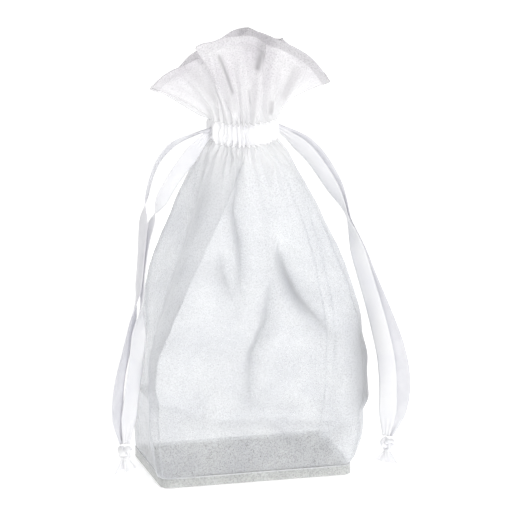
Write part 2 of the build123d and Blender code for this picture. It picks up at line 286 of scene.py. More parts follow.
def pleats(z, turn, depth):
    """How far the gathers stand out at height z, for the wall, the casing and the heading's foot."""
    down, up = np.maximum(NECK_LOW - z, 0), np.maximum(z - NECK_HIGH, 0)
    reach = 1 + 0.55 * np.sin(2 * math.pi * 5 * turn + 1.1) * np.sin(2 * math.pi * 3 * turn)
    crush = turn + 0.0035 * np.sin(z / 2.1 + 40 * turn) + 0.002 * np.sin(z / 1.3 + 90 * turn)
    fine = slit_room(turn) * depth * np.exp(-down / (6 * reach) - up / 9) * gathers(crush, FINE_GATHERS, 3)
    fade = np.exp(-down / (24 * reach) - up / 16)
    middle = 1.7 * (1 - np.exp(-(down + up) / 5)) * fade * gathers(turn, MIDDLE_GATHERS, 8)
    broad = 2.7 * (1 - np.exp(-(down + up) / 14)) * np.exp(-down / 36 - up / 22) * gathers(turn, 10, 21)
    return fine + middle + broad


def pinch(z):
    """The two stitch rows draw the casing in."""
    between = 0.6 * np.exp(-(((z - 194.1) / 6.5) ** 4))
    rows = sum(np.exp(-(((z - level) / 1.6) ** 2)) for level in STITCH_LEVELS)
    return between - 0.8 * rows


def off_line(places, points):
    """Distance of each place from a line through points, how far along it that is, and on which hand."""
    best = np.full(places.shape[:-1], 1e9)
    along, hand = np.zeros_like(best), np.zeros_like(best)
    points = np.array(points, float)
    steps = np.linalg.norm(np.diff(points, axis=0), axis=1)
    start, total = 0.0, steps.sum()
    for a, b, long in zip(points, points[1:], steps):
        t = np.clip(((places - a) @ (b - a)) / long**2, 0, 1)
        off = places - (a + t[..., None] * (b - a))
        gap = np.linalg.norm(off, axis=-1)
        nearer = gap < best
        best[nearer], along[nearer] = gap[nearer], ((start + t * long) / total)[nearer]
        hand[nearer] = (off @ np.cross(b - a, (0, -1, 0)))[nearer]
        start += long
    return best, along, hand


def curved(points, count):
    """Evenly spaced places on a smooth curve through points."""
    points = np.array(points, float)
    ends = np.vstack([2 * points[0] - points[1], points, 2 * points[-1] - points[-2]])
    fine = []
    for i in range(1, len(ends) - 2):
        t = np.linspace(0, 1, 24, endpoint=False)[:, None]
        a, b, c, d = ends[i - 1:i + 3]
        square, cube = 2 * a - 5 * b + 4 * c - d, 3 * b - 3 * c + d - a
        fine.append(0.5 * (2 * b + (c - a) * t + square * t**2 + cube * t**3))
    fine = np.vstack(fine + [points[-1:]])
    return evenly(fine, count)


def evenly(line, count):
    """The same line with count evenly spaced places."""
    run = np.concatenate([[0], np.cumsum(np.linalg.norm(np.diff(line, axis=0), axis=1))])
    at = np.linspace(0, run[-1], count)
    return np.stack([np.interp(at, run, line[:, k]) for k in range(line.shape[1])], axis=1)


SMOOTH_FOLDS = [(curved(points, 30), depth, width) for points, depth, width in FOLDS]


def wall(z, share, back, depth):
    """Places on the bag's gathered wall, in millimetres, with how much extra density and painted shade each
    place gets.
    """
    x, y, nx, ny, length = outline(z, share, back)
    turn = (1 - share / 2) if back else share / 2
    scale = length / FLAT_HALF_ROUND
    push = pleats(z, turn, depth) + pinch(z)
    low = np.clip((z - WALL_LOW) / 14, 0, 1)

    def ridge(at, height, left, right):
        gap = (share - at) * length
        wide = np.where(gap < 0, left, right) * np.maximum(scale, 0.25)
        return height * np.clip(1 - np.abs(gap) / wide, 0, 1) ** 1.4

    def swell(at, height, wide):
        gap = (share - at) * length / (wide * np.maximum(scale, 0.3))
        return height * np.clip(1 - gap**2, 0, 1) ** 2

    if back:
        out = np.interp(z, *BACK_LEFT_CORNER)
        push += ridge(corner_share(z), np.maximum(out, 0), 17, 18)
        push += swell(corner_share(z), np.minimum(out, 0), 34)
        push += ridge(1 - corner_share(z), 1.8 * low * scale, 16, 16)
    else:
        crease, height = (np.interp(z, CREASE_LEVELS, v) for v in (CREASE_SHARES, CREASE_HEIGHTS))
        push += ridge(crease, height, 20, 26)
        push += swell(1 - corner_share(z), np.interp(z, *FRONT_RIGHT_CORNER), 30)
    fold_in = np.interp(z, [5.7, 18, 60, 80, 120, 150, 178, 184], [0, 2, 6.5, 6.8, 6.2, 4.4, 1.2, 0])
    push -= fold_in * np.clip(1 - share * length / (30 * scale), 0, 1) ** 1.3
    push -= 0.8 * fold_in * np.clip(1 - (1 - share) * length / (30 * scale), 0, 1) ** 1.3
    places = np.stack([x, y, z + np.zeros_like(x)], axis=-1)
    layers_and_shade = np.zeros_like(x)
    for line, height, width in SMOOTH_FOLDS:
        gap, along, hand = off_line(places, line)
        along = np.sin(math.pi * np.clip(along * 0.92 + 0.04, 0, 1)) ** 0.6
        push += height * np.exp(-((gap / width) ** 1.4)) * along
        # Inward folds get painted shade in their valleys, with extra density, spreading further on one hand
        # than on the other.
        reach = width * np.where(hand > 0, 1.25, 0.3)
        layers_and_shade += max(-height - 1, 0) / 6.5 * np.exp(-((gap / reach) ** 1.2)) * along
    if back:
        layers_and_shade *= 0.25
    else:
        # Painted shade: a dark band just past the front right corner, between heights 32 and 104.
        turned = (share - (1 - corner_share(z))) * length - 5
        ends = np.clip((z - 32) / 12, 0, 1) * np.clip((104 - z) / 28, 0, 1)
        layers_and_shade += 1.1 * np.exp(-((turned / 10) ** 2)) * ends
    slack = low * np.clip((176 - z) / 60, 0, 1)
    push += slack * (0.55 * ripples(x + 2 * y, z, 5, 46) + 0.16 * ripples(x + 2 * y, z, 9, 15, 9))
    push = np.maximum(push, -np.interp(z, [45, 60], [BOARD_ROOM, 30]))
    places[..., 0] += nx * push
    places[..., 1] += ny * push
    return places, np.clip(layers_and_shade, 0, 1)


def gusset_shade(z, share, crease):
    """Painted shade on the front half of the left gusset, which is folded on itself, darkest along its front
    crease.
    """
    across = (share / crease) * np.ones_like(z)
    fade = np.clip((z - 40) / 15, 0, 1) * np.clip((187 - z) / 6, 0, 1)
    deep = np.exp(-(((z - 158) / 16) ** 2)) * np.exp(-(((across - 0.55) / 0.25) ** 2))
    edge = np.exp(-(1 - across) * 7) * np.clip((125 - z) / 30, 0, 1)
    return fade * (0.2 * np.clip((across - 0.04) / 0.04, 0, 1) + 0.24 * deep + 0.36 * edge)


def neck(z, share, back, depth, shift=0.0):
    """Places on the gathered casing, in millimetres; shift moves the whole ring in or out."""
    turn = (1 - share / 2) if back else share / 2
    angle = math.pi * (1 + share) if not back else math.pi * (1 - share)
    radius = NECK_RADIUS + shift + pleats(z, turn, depth) + pinch(z)
    return np.stack([radius * np.cos(angle), radius * np.sin(angle), z + np.zeros_like(angle)], axis=-1)


def heading_sheet(back, depth, columns, rows):
    """Places on one half of the flared heading, from its foot to its hem, with its extra density and painted
    shade.
    """
    share = np.linspace(0, 1, columns)
    foot = neck(np.full(columns, NECK_HIGH), share, back, 0.0)
    edge = curved(BACK_EDGE if back else FRONT_EDGE, columns)
    t = np.linspace(0.0, 1.0, rows)[:, None, None]
    middle = foot + 0.36 * (edge - foot) + np.array([0, 0, 5.0])
    places = (1 - t) ** 2 * foot + 2 * t * (1 - t) * middle + t**2 * edge
    across, up = np.gradient(places, axis=1), np.gradient(places, axis=0)
    out = np.cross(across, up) * (-1 if back else 1)
    out /= np.maximum(np.linalg.norm(out, axis=-1, keepdims=True), 1e-9)
    turn = (1 - share / 2) if back else share / 2
    away = t[..., 0] * 50
    push = slit_room(turn) * depth * np.exp(-away / 8) * gathers(turn, FINE_GATHERS, 3)
    push = push + 2.6 * (1 - np.exp(-away / 6)) * np.exp(-away / 34) * gathers(turn, MIDDLE_GATHERS, 8)
    push = push + 2.6 * (1 - np.exp(-away / 12)) * np.exp(-away / 60) * gathers(turn, 11, 24)
    push = push + 0.35 * np.clip(away / 20, 0, 1) * ripples(share[None] * 175 + 0 * away, away, 31, 30)
    push = push * np.clip(np.minimum(share, 1 - share) * 30 + 0.25, 0, 1)
    push = push * (1 + 0.85 * back * np.clip(away / 10, 0, 1))
    height = t[..., 0]
    layers_and_shade = np.zeros_like(push)
    if not back:
        # Painted shade along each listed fold and slit.
        for (left, foot_end), (right, top_end), wide, deep in HEADING_SHADES:
            along = (height - foot_end) / (top_end - foot_end)
            line = left + (right - left) * np.clip(along, 0, 1)
            ends = np.clip(1 - np.maximum(-along, along - 1) / 0.15, 0, 1)
            layers_and_shade += deep * np.exp(-np.abs((share - line) / wide) ** 1.6) * ends
    # The hem band is made denser, where its cloth is folded over, and darker as painted shade, most on the
    # right flap.
    hem = np.clip((height - 0.9) / 0.01, 0, 1)
    layers_and_shade = np.clip(layers_and_shade + hem * np.interp(share, [0.0, 0.5, 0.54, 1.0], [0.2, 0.2, 0.65, 0.6]), 0, 1)
    return places + out * push[..., None], layers_and_shade


# ---------------------------------------------------------------- making pieces

def select_only(o):
    bpy.ops.object.select_all(action="DESELECT")
    o.select_set(True)
    bpy.context.view_layer.objects.active = o


def lay_cloth(name, places, flat, back=False, layers_and_shade=None):
    """A flat grid of cloth laid onto its places; its UV map is its flat size, and its per-place attribute
    holds its folded share and painted shade.
    """
    rows, columns = places.shape[:2]
    bpy.ops.object.select_all(action="DESELECT")
    bpy.ops.mesh.primitive_grid_add(x_subdivisions=columns - 1, y_subdivisions=rows - 1, size=1)
    o = bpy.context.active_object
    o.name = o.data.name = name
    mesh = o.data
    spot = np.empty(len(mesh.vertices) * 3)
    mesh.vertices.foreach_get("co", spot)
    spot = spot.reshape(-1, 3)
    i = np.rint((spot[:, 0] + 0.5) * (columns - 1)).astype(int)
    j = np.rint((spot[:, 1] + 0.5) * (rows - 1)).astype(int)
    mesh.vertices.foreach_set("co", (places[j, i] * MM).ravel())
    corners = np.empty(len(mesh.loops), dtype=np.int32)
    mesh.loops.foreach_get("vertex_index", corners)
    uv = np.stack([i[corners] / (columns - 1) * flat[0], j[corners] / (rows - 1) * flat[1]], axis=1)
    mesh.uv_layers[0].name = "cloth"
    mesh.uv_layers[0].data.foreach_set("uv", uv.ravel())
    folded = mesh.attributes.new("layers_and_shade", "FLOAT", "POINT")
    share = np.zeros(len(mesh.vertices)) if layers_and_shade is None else layers_and_shade[j, i]
    folded.data.foreach_set("value", share.astype(np.float32))
    mesh.update()
    select_only(o)
    if back:
        bpy.ops.object.mode_set(mode="EDIT")
        bpy.ops.mesh.select_all(action="SELECT")
        bpy.ops.mesh.flip_normals()
        bpy.ops.object.mode_set(mode="OBJECT")
    bpy.ops.object.shade_smooth()
    return o


def thicken(o, thickness, offset=0.0):
    solid = o.modifiers.new("thickness", "SOLIDIFY")
    solid.thickness, solid.offset = thickness, offset
    solid.use_even_offset = False
    return o


def swept(name, line, wide, deep, across=None, closed=False, sides=10):
    """A soft band of oval section along a line, with length along it in its UV map."""
    line = np.asarray(line, float)
    n = len(line)
    ahead = (np.roll(line, -1, 0) - np.roll(line, 1, 0)) if closed else np.gradient(line, axis=0)
    ahead /= np.linalg.norm(ahead, axis=1, keepdims=True)
    if across is None:
        across, side = [], np.cross(ahead[0], (0.31, 0.2, 0.93))
        for t in ahead:
            side = side - t * (side @ t)
            side /= np.linalg.norm(side)
            across.append(side)
        across = np.array(across)
        if closed:
            drift = math.atan2(np.cross(across[-1], across[0]) @ ahead[0], across[-1] @ across[0])
            turn = np.linspace(0, drift, n)[:, None]
            across = across * np.cos(turn) + np.cross(ahead, across) * np.sin(turn)
    up = np.cross(ahead, across)
    wide, deep = np.broadcast_to(wide, n), np.broadcast_to(deep, n)
    angle = np.linspace(0, 2 * math.pi, sides, endpoint=False)
    rings = (
        line[:, None]
        + across[:, None] * (np.cos(angle)[None, :, None] * wide[:, None, None] / 2)
        + up[:, None] * (np.sin(angle)[None, :, None] * deep[:, None, None] / 2)
    )
    verts = rings.reshape(-1, 3)
    faces = []
    for k in range(n if closed else n - 1):
        nxt = (k + 1) % n
        for s in range(sides):
            e = (s + 1) % sides
            faces.append((k * sides + s, k * sides + e, nxt * sides + e, nxt * sides + s))
    if not closed:
        faces.append(tuple(range(sides))[::-1])
        faces.append(tuple((n - 1) * sides + s for s in range(sides)))
    mesh = bpy.data.meshes.new(name)
    mesh.from_pydata((verts * MM).tolist(), [], faces)
    run = np.concatenate([[0], np.cumsum(np.linalg.norm(np.diff(line, axis=0), axis=1))]) * MM
    layer = mesh.uv_layers.new(name="cloth")
    corners = np.empty(len(mesh.loops), dtype=np.int32)
    mesh.loops.foreach_get("vertex_index", corners)
    uv = np.stack([(corners % sides) / sides * 0.01, run[corners // sides]], axis=1)
    layer.data.foreach_set("uv", uv.ravel())
    o = bpy.data.objects.new(name, mesh)
    bpy.context.scene.collection.objects.link(o)
    select_only(o)
    bpy.ops.object.mode_set(mode="EDIT")
    bpy.ops.mesh.select_all(action="SELECT")
    bpy.ops.mesh.normals_make_consistent(inside=False)
    bpy.ops.object.mode_set(mode="OBJECT")
    bpy.ops.object.shade_smooth()
    return o


def joined(pieces, name):
    bpy.ops.object.select_all(action="DESELECT")
    for o in pieces:
        o.select_set(True)
    bpy.context.view_layer.objects.active = pieces[0]
    if len(pieces) > 1:
        bpy.ops.object.join()
    pieces[0].name = pieces[0].data.name = name
    return pieces[0]


def side_blend(o):
    """Bakes the piece's placement into its mesh."""
    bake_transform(o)


# ---------------------------------------------------------------- materials

def material(name):
    made = bpy.data.materials.get("pouch_" + name)
    if made:
        return made, None
    made = bpy.data.materials.new("pouch_" + name)
    made.use_nodes = True
    made.node_tree.nodes.clear()
    return made, made.node_tree


def node(tree, kind, **values):
    """Adds a node; a value goes to the socket of that name, or to the node's own setting."""
    n = tree.nodes.new("ShaderNode" + kind)
    for key, value in values.items():
        socket = n.inputs.get(key.replace("_", " "))
        if socket is None:
            setattr(n, key, value)
        elif isinstance(value, bpy.types.NodeSocket):
            tree.links.new(value, socket)
        else:
            socket.default_value = value
    return n


def ramp(tree, factor, stops):
    n = tree.nodes.new("ShaderNodeValToRGB")
    tree.links.new(factor, n.inputs[0])
    n.color_ramp.elements[0].position, n.color_ramp.elements[0].color = stops[0]
    n.color_ramp.elements[1].position, n.color_ramp.elements[1].color = stops[-1]
    for position, colour in stops[1:-1]:
        n.color_ramp.elements.new(position).color = colour
    return n.outputs["Color"]


def grey(value):
    return (value, value, value, 1)


def organza(name, light, shade, cover, spread=0.11, roughness=0.42):
    """Sheer woven cloth: crossing threads, a sparkling grain and slow changes of tint, with painted light
    whitening the gathered neck and painted shade darkening folds, creases and side bands.
    """
    made, tree = material(name)
    if tree is None:
        return made
    place = node(tree, "TexCoord").outputs["Object"]
    grain = node(tree, "TexNoise", Vector=place, Scale=1150.0, Detail=1.0, Roughness=0.6).outputs["Fac"]
    slow = node(tree, "TexNoise", Vector=place, Scale=55.0, Detail=2.0, Roughness=0.5).outputs["Fac"]
    threads = node(tree, "UVMap", uv_map="cloth").outputs["UV"]
    warp, weft = (
        node(tree, "TexWave", Vector=threads, Scale=scale, Distortion=1.2, Detail=1.0, Detail_Scale=0.4,
             bands_direction=way).outputs["Fac"]
        for scale, way in ((480.0, "X"), (520.0, "Y")))
    weave = node(tree, "Math", operation="MAXIMUM")
    tree.links.new(warp, weave.inputs[0])
    tree.links.new(weft, weave.inputs[1])
    mixed = node(tree, "Math", operation="MULTIPLY_ADD")
    tree.links.new(grain, mixed.inputs[0])
    mixed.inputs[1].default_value = 1.5
    scaled = node(tree, "Math", operation="MULTIPLY")
    tree.links.new(weave.outputs[0], scaled.inputs[0])
    scaled.inputs[1].default_value = 0.22
    tree.links.new(scaled.outputs[0], mixed.inputs[2])
    thin, thick = max(cover - spread, 0.02), min(cover + spread, 1)
    density = ramp(tree, mixed.outputs[0], [(0.55, grey(thin)), (1.1, grey(thick))])
    colour = ramp(tree, slow, [(0.32, (*shade, 1)), (0.68, (*light, 1))])
    # A band round the gathered neck, picked out by height, is made denser, and its colour is mixed towards
    # near white as painted light.
    height = node(tree, "SeparateXYZ", Vector=place).outputs["Z"]
    bunched_and_lit = ramp(tree, height, [
        (0.138, grey(0)), (0.168, grey(0.3)), (0.184, grey(1)), (0.203, grey(1)), (0.23, grey(0))])
    denser = node(tree, "MixRGB", Fac=bunched_and_lit, Color1=density, Color2=grey(min(cover + 0.14, 1)))
    painted_neck_light = node(tree, "MixRGB", Fac=bunched_and_lit, Color1=colour, Color2=(0.98, 0.98, 0.985, 1))
    edge_on = node(tree, "LayerWeight", Blend=0.35).outputs["Facing"]
    steep = ramp(tree, edge_on, [(0.3, grey(0)), (0.75, grey(0.45)), (0.97, grey(1))])
    thicker = node(tree, "MixRGB", Fac=steep, Color1=denser.outputs[0], Color2=grey(min(cover + 0.34, 1)))
    # Painted shade: where the per-place attribute is high, the cloth is made denser and its colour is mixed
    # towards dim, 0.6 of the shade tint.
    folded = node(tree, "Attribute", attribute_name="layers_and_shade").outputs["Fac"]
    opaque, dim = grey(min(cover + 0.42, 1)), (*[0.6 * v for v in shade], 1)
    folded_over = node(tree, "MixRGB", Fac=folded, Color1=thicker.outputs[0], Color2=opaque)
    shaded = node(tree, "MixRGB", Fac=folded, Color1=painted_neck_light.outputs[0], Color2=dim)
    colour, density = shaded.outputs[0], folded_over.outputs[0]
    bump = node(tree, "Bump", Strength=0.25, Distance=0.00012, Height=mixed.outputs[0])
    skin = node(tree, "BsdfPrincipled", Base_Color=colour, Alpha=density, Roughness=roughness,
                Sheen_Weight=0.35, Sheen_Roughness=0.35, Normal=bump.outputs["Normal"])
    skin.inputs["Specular IOR Level"].default_value = 0.35
    out = node(tree, "OutputMaterial")
    tree.links.new(skin.outputs["BSDF"], out.inputs["Surface"])
    return made


def satin(name, light, shade):
    """Woven satin ribbon: fine ribs across it and a lengthwise shine."""
    made, tree = material(name)
    if tree is None:
        return made
    flat = node(tree, "UVMap", uv_map="cloth").outputs["UV"]
    place = node(tree, "TexCoord").outputs["Object"]
    ribs = node(tree, "TexWave", Vector=flat, Scale=640.0, Distortion=0.4, bands_direction="Y")
    slow = node(tree, "TexNoise", Vector=place, Scale=90.0, Detail=3.0).outputs["Fac"]
    colour = ramp(tree, slow, [(0.3, (*shade, 1)), (0.62, (*light, 1))])
    bump = node(tree, "Bump", Strength=0.3, Distance=0.00008, Height=ribs.outputs["Fac"])
    skin = node(tree, "BsdfPrincipled", Base_Color=colour, Roughness=0.3, Sheen_Weight=0.25, Anisotropic=0.4,
                Normal=bump.outputs["Normal"])
    out = node(tree, "OutputMaterial")
    tree.links.new(skin.outputs["BSDF"], out.inputs["Surface"])
    return made


def fibre(name, light, shade, scale, roughness=0.7):
    """Thread and card: a soft mottled fibre."""
    made, tree = material(name)
    if tree is None:
        return made
    place = node(tree, "TexCoord").outputs["Object"]
    grain = node(tree, "TexNoise", Vector=place, Scale=scale, Detail=4.0).outputs["Fac"]
    colour = ramp(tree, grain, [(0.3, (*shade, 1)), (0.7, (*light, 1))])
    bump = node(tree, "Bump", Strength=0.3, Distance=0.0001, Height=grain)
    skin = node(tree, "BsdfPrincipled", Base_Color=colour, Roughness=roughness, Sheen_Weight=0.1,
                Normal=bump.outputs["Normal"])
    out = node(tree, "OutputMaterial")
    tree.links.new(skin.outputs["BSDF"], out.inputs["Surface"])
    return made


def sheer_cloth():
    cover = bpy.context.scene.pouch_cloth.cover
    return organza("sheer_cloth", (0.93, 0.945, 0.965), (0.83, 0.845, 0.88), cover)


def heading_cloth():
    return organza("heading_cloth", (0.95, 0.94, 0.955), (0.87, 0.85, 0.88), 0.36, 0.09)


def casing_cloth():
    # The casing's whiter tint and faint glow (emission 0.085) are painted light, standing for light that
    # passes through its many gathered plies.
    made = organza("casing_cloth", (0.98, 0.98, 0.985), (0.95, 0.95, 0.96), 0.62, 0.12)
    painted_glow = made.node_tree.nodes["Principled BSDF"].inputs
    painted_glow["Emission Color"].default_value, painted_glow["Emission Strength"].default_value = (1, 1, 1, 1), 0.085
    return made


def seam_cloth():
    return organza("seam_cloth", (0.95, 0.955, 0.97), (0.90, 0.91, 0.93), 0.6, 0.08)


def base_cloth():
    return organza("base_cloth", (0.80, 0.81, 0.80), (0.70, 0.71, 0.70), 0.4, 0.16)


def thread():
    return fibre("thread", (0.97, 0.97, 0.98), (0.9, 0.9, 0.92), 2600.0, 0.5)


def ribbon_satin(painted_shade=False):
    # The back strands get a greyer copy of the white satin: painted shade for strands hanging in shade.
    if painted_shade:
        return satin("ribbon_painted_shade", (0.86, 0.86, 0.89), (0.76, 0.76, 0.80))
    return satin("ribbon", (0.97, 0.97, 0.98), (0.92, 0.92, 0.95))


def dress(o, made):
    o.data.materials.clear()
    o.data.materials.append(made)
    return o


# ---------------------------------------------------------------- settings

class PouchClothSettings(bpy.types.PropertyGroup):
    pleat_depth: bpy.props.FloatProperty(
        name="Pleat depth", description="How far the neck gathers stand out",
        default=0.0033, min=0.0, unit="LENGTH")
    thickness: bpy.props.FloatProperty(
        name="Cloth thickness", description="Thickness of one layer of organza",
        default=0.00022, min=0.00005, unit="LENGTH")
    cover: bpy.props.FloatProperty(
        name="Cover", description="How much of what lies behind one layer is hidden",
        default=0.3, min=0.0, max=1.0, subtype="FACTOR")


class PouchRibbonSettings(bpy.types.PropertyGroup):
    width: bpy.props.FloatProperty(
        name="Ribbon width", description="Width of the drawstring ribbon",
        default=0.01, min=0.001, unit="LENGTH")
    thickness: bpy.props.FloatProperty(
        name="Ribbon thickness", description="Thickness of the ribbon",
        default=0.00035, min=0.0001, unit="LENGTH")


class PouchStageSettings(bpy.types.PropertyGroup):
    key_power: bpy.props.FloatProperty(
        name="Key light", description="Power of the large soft light, in watts",
        default=12.6, min=0.0)
    sky: bpy.props.FloatProperty(
        name="Room light", description="Even light from all round",
        default=0.43, min=0.0)


# ---------------------------------------------------------------- the pouch, piece by piece

WALL_PIECES = [
    # name, on the back, from edge, to edge, columns, flat width in metres, CAD node,
    # whether it moves wholly with its wall
    ("front_cloth", False, "front_left", "front_right", 150, 0.108, "front_panel", True),
    ("back_cloth", True, "back_left", "back_right", 120, 0.108, "back_panel", True),
    ("left_gusset_front_half", False, None, "front_left", 130, 0.033, "left_gusset", False),
    ("left_gusset_back_half", True, None, "back_left", 56, 0.033, "left_gusset", False),
    ("right_gusset_front_half", False, "front_right", None, 56, 0.033, "right_gusset", False),
    ("right_gusset_back_half", True, "back_right", None, 56, 0.033, "right_gusset", False),
]


def wall_levels(count):
    """Heights up the wall, closer together where the cloth is gathered."""
    t = np.linspace(0, 1, count)
    return WALL_LOW + (NECK_LOW - WALL_LOW) * (t + 0.12 * np.sin(math.pi * t))


class POUCH_OT_walls(bpy.types.Operator):
    """Lay the sheer front, back and gussets, gathered in to the neck"""

    bl_idname = "pouch.walls"
    bl_label = "Sheer walls"

    def execute(self, context):
        cloth = context.scene.pouch_cloth
        levels = wall_levels(190)
        for name, back, first, last, columns, flat, part, whole in WALL_PIECES:
            low = seam_share(levels, first) if first else (np.zeros_like(levels) if last else None)
            high = seam_share(levels, last) if last else np.ones_like(levels)
            share = low[:, None] + (high - low)[:, None] * np.linspace(0, 1, columns)[None]
            z = levels[:, None] + 0 * share
            places, layers_and_shade = wall(z, share, back, cloth.pleat_depth / MM)
            # Painted shade over the left gusset's front half.
            if name == "left_gusset_front_half":
                layers_and_shade = np.clip(layers_and_shade + gusset_shade(z, share, high[:, None]), 0, 1)
            o = thicken(lay_cloth(name, places, (flat, 0.183), back, layers_and_shade), cloth.thickness)
            dress(o, sheer_cloth())
            if whole:
                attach(o, "back_wall" if back else "front_wall")
            else:
                side_blend(o)
            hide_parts(part)
        return {"FINISHED"}


class POUCH_OT_corner_seams(bpy.types.Operator):
    """Sew the four narrow corner seams from the base to the neck"""

    bl_idname = "pouch.corner_seams"
    bl_label = "Corner seams"

    def execute(self, context):
        depth = context.scene.pouch_cloth.pleat_depth / MM
        levels = wall_levels(150)
        for side in ("front", "back"):
            for hand in ("left", "right"):
                share = seam_share(levels, f"{side}_{hand}")
                line, _ = wall(levels, share, side == "back", depth)
                _, _, nx, ny, _ = outline(levels, share, side == "back")
                inward = -np.stack([nx, ny, 0 * nx], axis=1)
                name = f"{side}_{hand}_seam_fin"
                o = dress(swept(name, line + inward * 0.7, 1.6, 0.42, across=inward, sides=8), seam_cloth())
                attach(o, f"{side}_wall")
                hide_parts(f"{side}_{hand}_seam")
        return {"FINISHED"}


class POUCH_OT_base(bpy.types.Operator):
    """Make the cloth tray under the insert board, and the seam round its rim"""

    bl_idname = "pouch.base"
    bl_label = "Base tray and seam"

    def execute(self, context):
        bpy.ops.object.select_all(action="DESELECT")
        bpy.ops.mesh.primitive_cube_add(size=1, location=(0, 0, RIM_HEIGHT / 2 * MM))
        tray = context.active_object
        tray.scale = (2 * BASE_HALF_WIDTH * MM, 2 * BASE_HALF_DEPTH * MM, RIM_HEIGHT * MM)
        bpy.ops.object.transform_apply(location=True, rotation=True, scale=True)
        mesh = tray.data
        bpy.ops.object.mode_set(mode="EDIT")
        bpy.ops.mesh.select_all(action="DESELECT")
        bpy.ops.object.mode_set(mode="OBJECT")
        for e in mesh.edges:
            a, b = (mesh.vertices[v].co for v in e.vertices)
            e.select = abs(a.z - b.z) > 1e-4
        bpy.ops.object.mode_set(mode="EDIT")
        bpy.ops.mesh.select_mode(type="EDGE")
        bpy.ops.mesh.bevel(offset=BASE_CORNER * MM, segments=8)
        bpy.ops.mesh.select_all(action="DESELECT")
        bpy.ops.object.mode_set(mode="OBJECT")
        for f in mesh.polygons:
            f.select = f.normal.z > 0.9
        bpy.ops.object.mode_set(mode="EDIT")
        bpy.ops.mesh.select_mode(type="FACE")
        bpy.ops.mesh.delete(type="FACE")
        bpy.ops.object.mode_set(mode="OBJECT")
        tray.name = tray.data.name = "base_tray"
        bevel = tray.modifiers.new("soft edge", "BEVEL")
        bevel.width, bevel.segments = 0.0007, 3
        bevel.limit_method, bevel.angle_limit = "ANGLE", math.radians(40)
        thicken(tray, 0.0004, -1)
        mesh.uv_layers[0].name = "cloth"
        select_only(tray)
        bpy.ops.object.shade_smooth_by_angle(angle=math.radians(40))
        dress(tray, base_cloth())
        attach(tray, "base")
        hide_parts("base_panel")

        share = np.linspace(0, 1, 181)
        level = np.full_like(share, RIM_HEIGHT + 0.45)
        front, back = (np.stack(outline(level, share, b)[:2], axis=1) for b in (False, True))
        ring = np.vstack([front[:-1], back[::-1][:-1]])
        ring = np.hstack([ring, np.full((len(ring), 1), RIM_HEIGHT + 0.45)])
        ring = evenly(np.vstack([ring, ring[:1]]), 361)[:-1]
        seam = dress(swept("base_rim_seam", ring, 1.0, 0.9, closed=True, sides=8), seam_cloth())
        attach(seam, "base")
        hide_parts("base_seam")
        return {"FINISHED"}


class POUCH_OT_casing(bpy.types.Operator):
    """Gather the two halves of the double drawstring casing round the neck"""

    bl_idname = "pouch.casing"
    bl_label = "Gathered casing"

    def execute(self, context):
        cloth = context.scene.pouch_cloth
        depth = cloth.pleat_depth / MM
        share = np.linspace(0, 1, 480)
        up = np.linspace(NECK_LOW, NECK_HIGH, 26)
        for side in ("front", "back"):
            back = side == "back"
            z, s = np.meshgrid(up, share, indexing="ij")
            outer = neck(z, s, back, depth)
            turn_over = neck(np.full((1, 480), NECK_HIGH + 0.15), s[:1], back, depth * 0.8, -1.6)
            inner = neck(z[::-1], s, back, depth * 0.42, -5.2)
            places = np.concatenate([outer, turn_over, inner])
            o = thicken(lay_cloth(f"{side}_casing", places, (0.174, 0.027), back), cloth.thickness)
            dress(o, casing_cloth())
            side_blend(o)
            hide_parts(f"{side}_channel", "left_channel", "right_channel")
        return {"FINISHED"}


class POUCH_OT_stitches(bpy.types.Operator):
    """Run the two rows of casing stitches over the gathers"""

    bl_idname = "pouch.stitches"
    bl_label = "Casing stitches"

    def execute(self, context):
        depth = context.scene.pouch_cloth.pleat_depth / MM
        for side in ("front", "back"):
            back = side == "back"
            pieces = []
            for row, height in enumerate(STITCH_LEVELS):
                share = np.linspace(0.004, 0.996, 1500)
                line = neck(np.full_like(share, height), share, back, depth, 0.12)
                run = np.concatenate([[0], np.cumsum(np.linalg.norm(np.diff(line, axis=0), axis=1))])
                count = int(run[-1] / 3.1)
                for k in range(count):
                    at = np.linspace(k * run[-1] / count, k * run[-1] / count + 2.0, 6)
                    stitch = np.stack([np.interp(at, run, line[:, c]) for c in range(3)], axis=1)
                    stitch[:, 2] += 0.06 * np.sin(k * 2.4)
                    pieces.append(swept(f"stitch_{row}_{k}", stitch, 0.34, 0.34, sides=5))
            o = dress(joined(pieces, f"{side}_casing_stitches"), thread())
            side_blend(o)
            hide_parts(f"{side}_stitching", "left_stitching", "right_stitching")
        return {"FINISHED"}


class POUCH_OT_heading(bpy.types.Operator):
    """Fan the heading out above the casing, with its folded hem"""

    bl_idname = "pouch.heading"
    bl_label = "Flared heading and hem"

    def execute(self, context):
        cloth = context.scene.pouch_cloth
        for side in ("front", "back"):
            back = side == "back"
            places, layers_and_shade = heading_sheet(back, cloth.pleat_depth / MM, 420, 80)
            o = thicken(lay_cloth(f"{side}_heading", places, (0.174, 0.047), back, layers_and_shade), cloth.thickness)
            dress(o, heading_cloth())
            side_blend(o)
            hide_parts(f"{side}_ruffle")
            low = int(0.91 * (len(places) - 1))
            strip = places[low:]
            hem = thicken(lay_cloth(f"{side}_heading_hem", strip, (0.174, 0.005), back), 0.0008)
            dress(hem, heading_cloth())
            side_blend(hem)
            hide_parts(f"{side}_hem")
        return {"FINISHED"}


